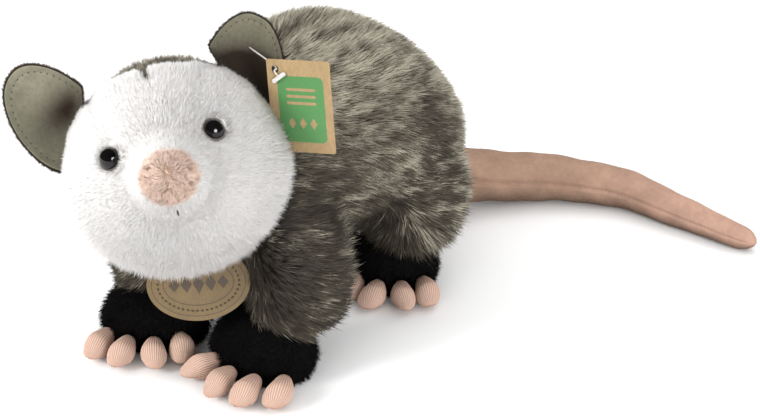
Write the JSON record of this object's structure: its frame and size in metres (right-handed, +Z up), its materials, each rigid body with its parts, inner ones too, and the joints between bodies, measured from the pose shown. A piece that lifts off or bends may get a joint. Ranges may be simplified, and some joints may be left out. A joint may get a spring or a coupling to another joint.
{
  "type": "plush toy opossum",
  "caption": "Stuffed plush opossum standing with its head turned aside: round white face, cupped felt ears, black paws with pink toes, long smooth tail, card tags.",
  "frame": {"origin": "on the floor, under the middle of the toy's bounding box", "axes": "+Z up, -Y the way the trunk looks, +X the toy's left; the head is turned to its left"},
  "size_m": [0.2622, 0.3956, 0.1947],
  "materials": {
    "white_plush": "matte",
    "grey_plush": "matte",
    "pink_plush": "matte",
    "black_plush": "matte",
    "ear_felt": "matte",
    "ear_plush": "matte",
    "toe_fabric": "matte",
    "tail_velour": "matte",
    "eye_plastic": "gloss",
    "card": "matte",
    "pin": "satin"
  },
  "bodies": {
    "root": {"eye_left": "eye_plastic", "eye_right": "eye_plastic", "nose": "pink_plush", "muzzle": "white_plush", "head_face": "white_plush", "head_back": "grey_plush", "ear_left_inner": "ear_felt", "ear_left_back": "ear_plush", "ear_right_inner": "ear_felt", "ear_right_back": "ear_plush", "front_left_toe_1": "toe_fabric", "front_left_toe_2": "toe_fabric", "front_left_toe_3": "toe_fabric", "front_left_toe_4": "toe_fabric", "front_left_paw": "black_plush", "front_left_leg": "grey_plush", "front_right_toe_1": "toe_fabric", "front_right_toe_2": "toe_fabric", "front_right_toe_3": "toe_fabric", "front_right_toe_4": "toe_fabric", "front_right_paw": "black_plush", "front_right_leg": "grey_plush", "hind_left_toe_1": "toe_fabric", "hind_left_toe_2": "toe_fabric", "hind_left_toe_3": "toe_fabric", "hind_left_toe_4": "toe_fabric", "hind_left_paw": "black_plush", "hind_left_leg": "grey_plush", "hind_right_toe_1": "toe_fabric", "hind_right_toe_2": "toe_fabric", "hind_right_toe_3": "toe_fabric", "hind_right_toe_4": "toe_fabric", "hind_right_paw": "black_plush", "hind_right_leg": "grey_plush", "hang_tag": "card", "tag_pin": "pin", "oval_tag": "card", "tail_root": "tail_velour", "tail_middle": "tail_velour", "tail_tip": "tail_velour", "neck": "grey_plush", "trunk": "grey_plush"}
  },
  "joints": []
}
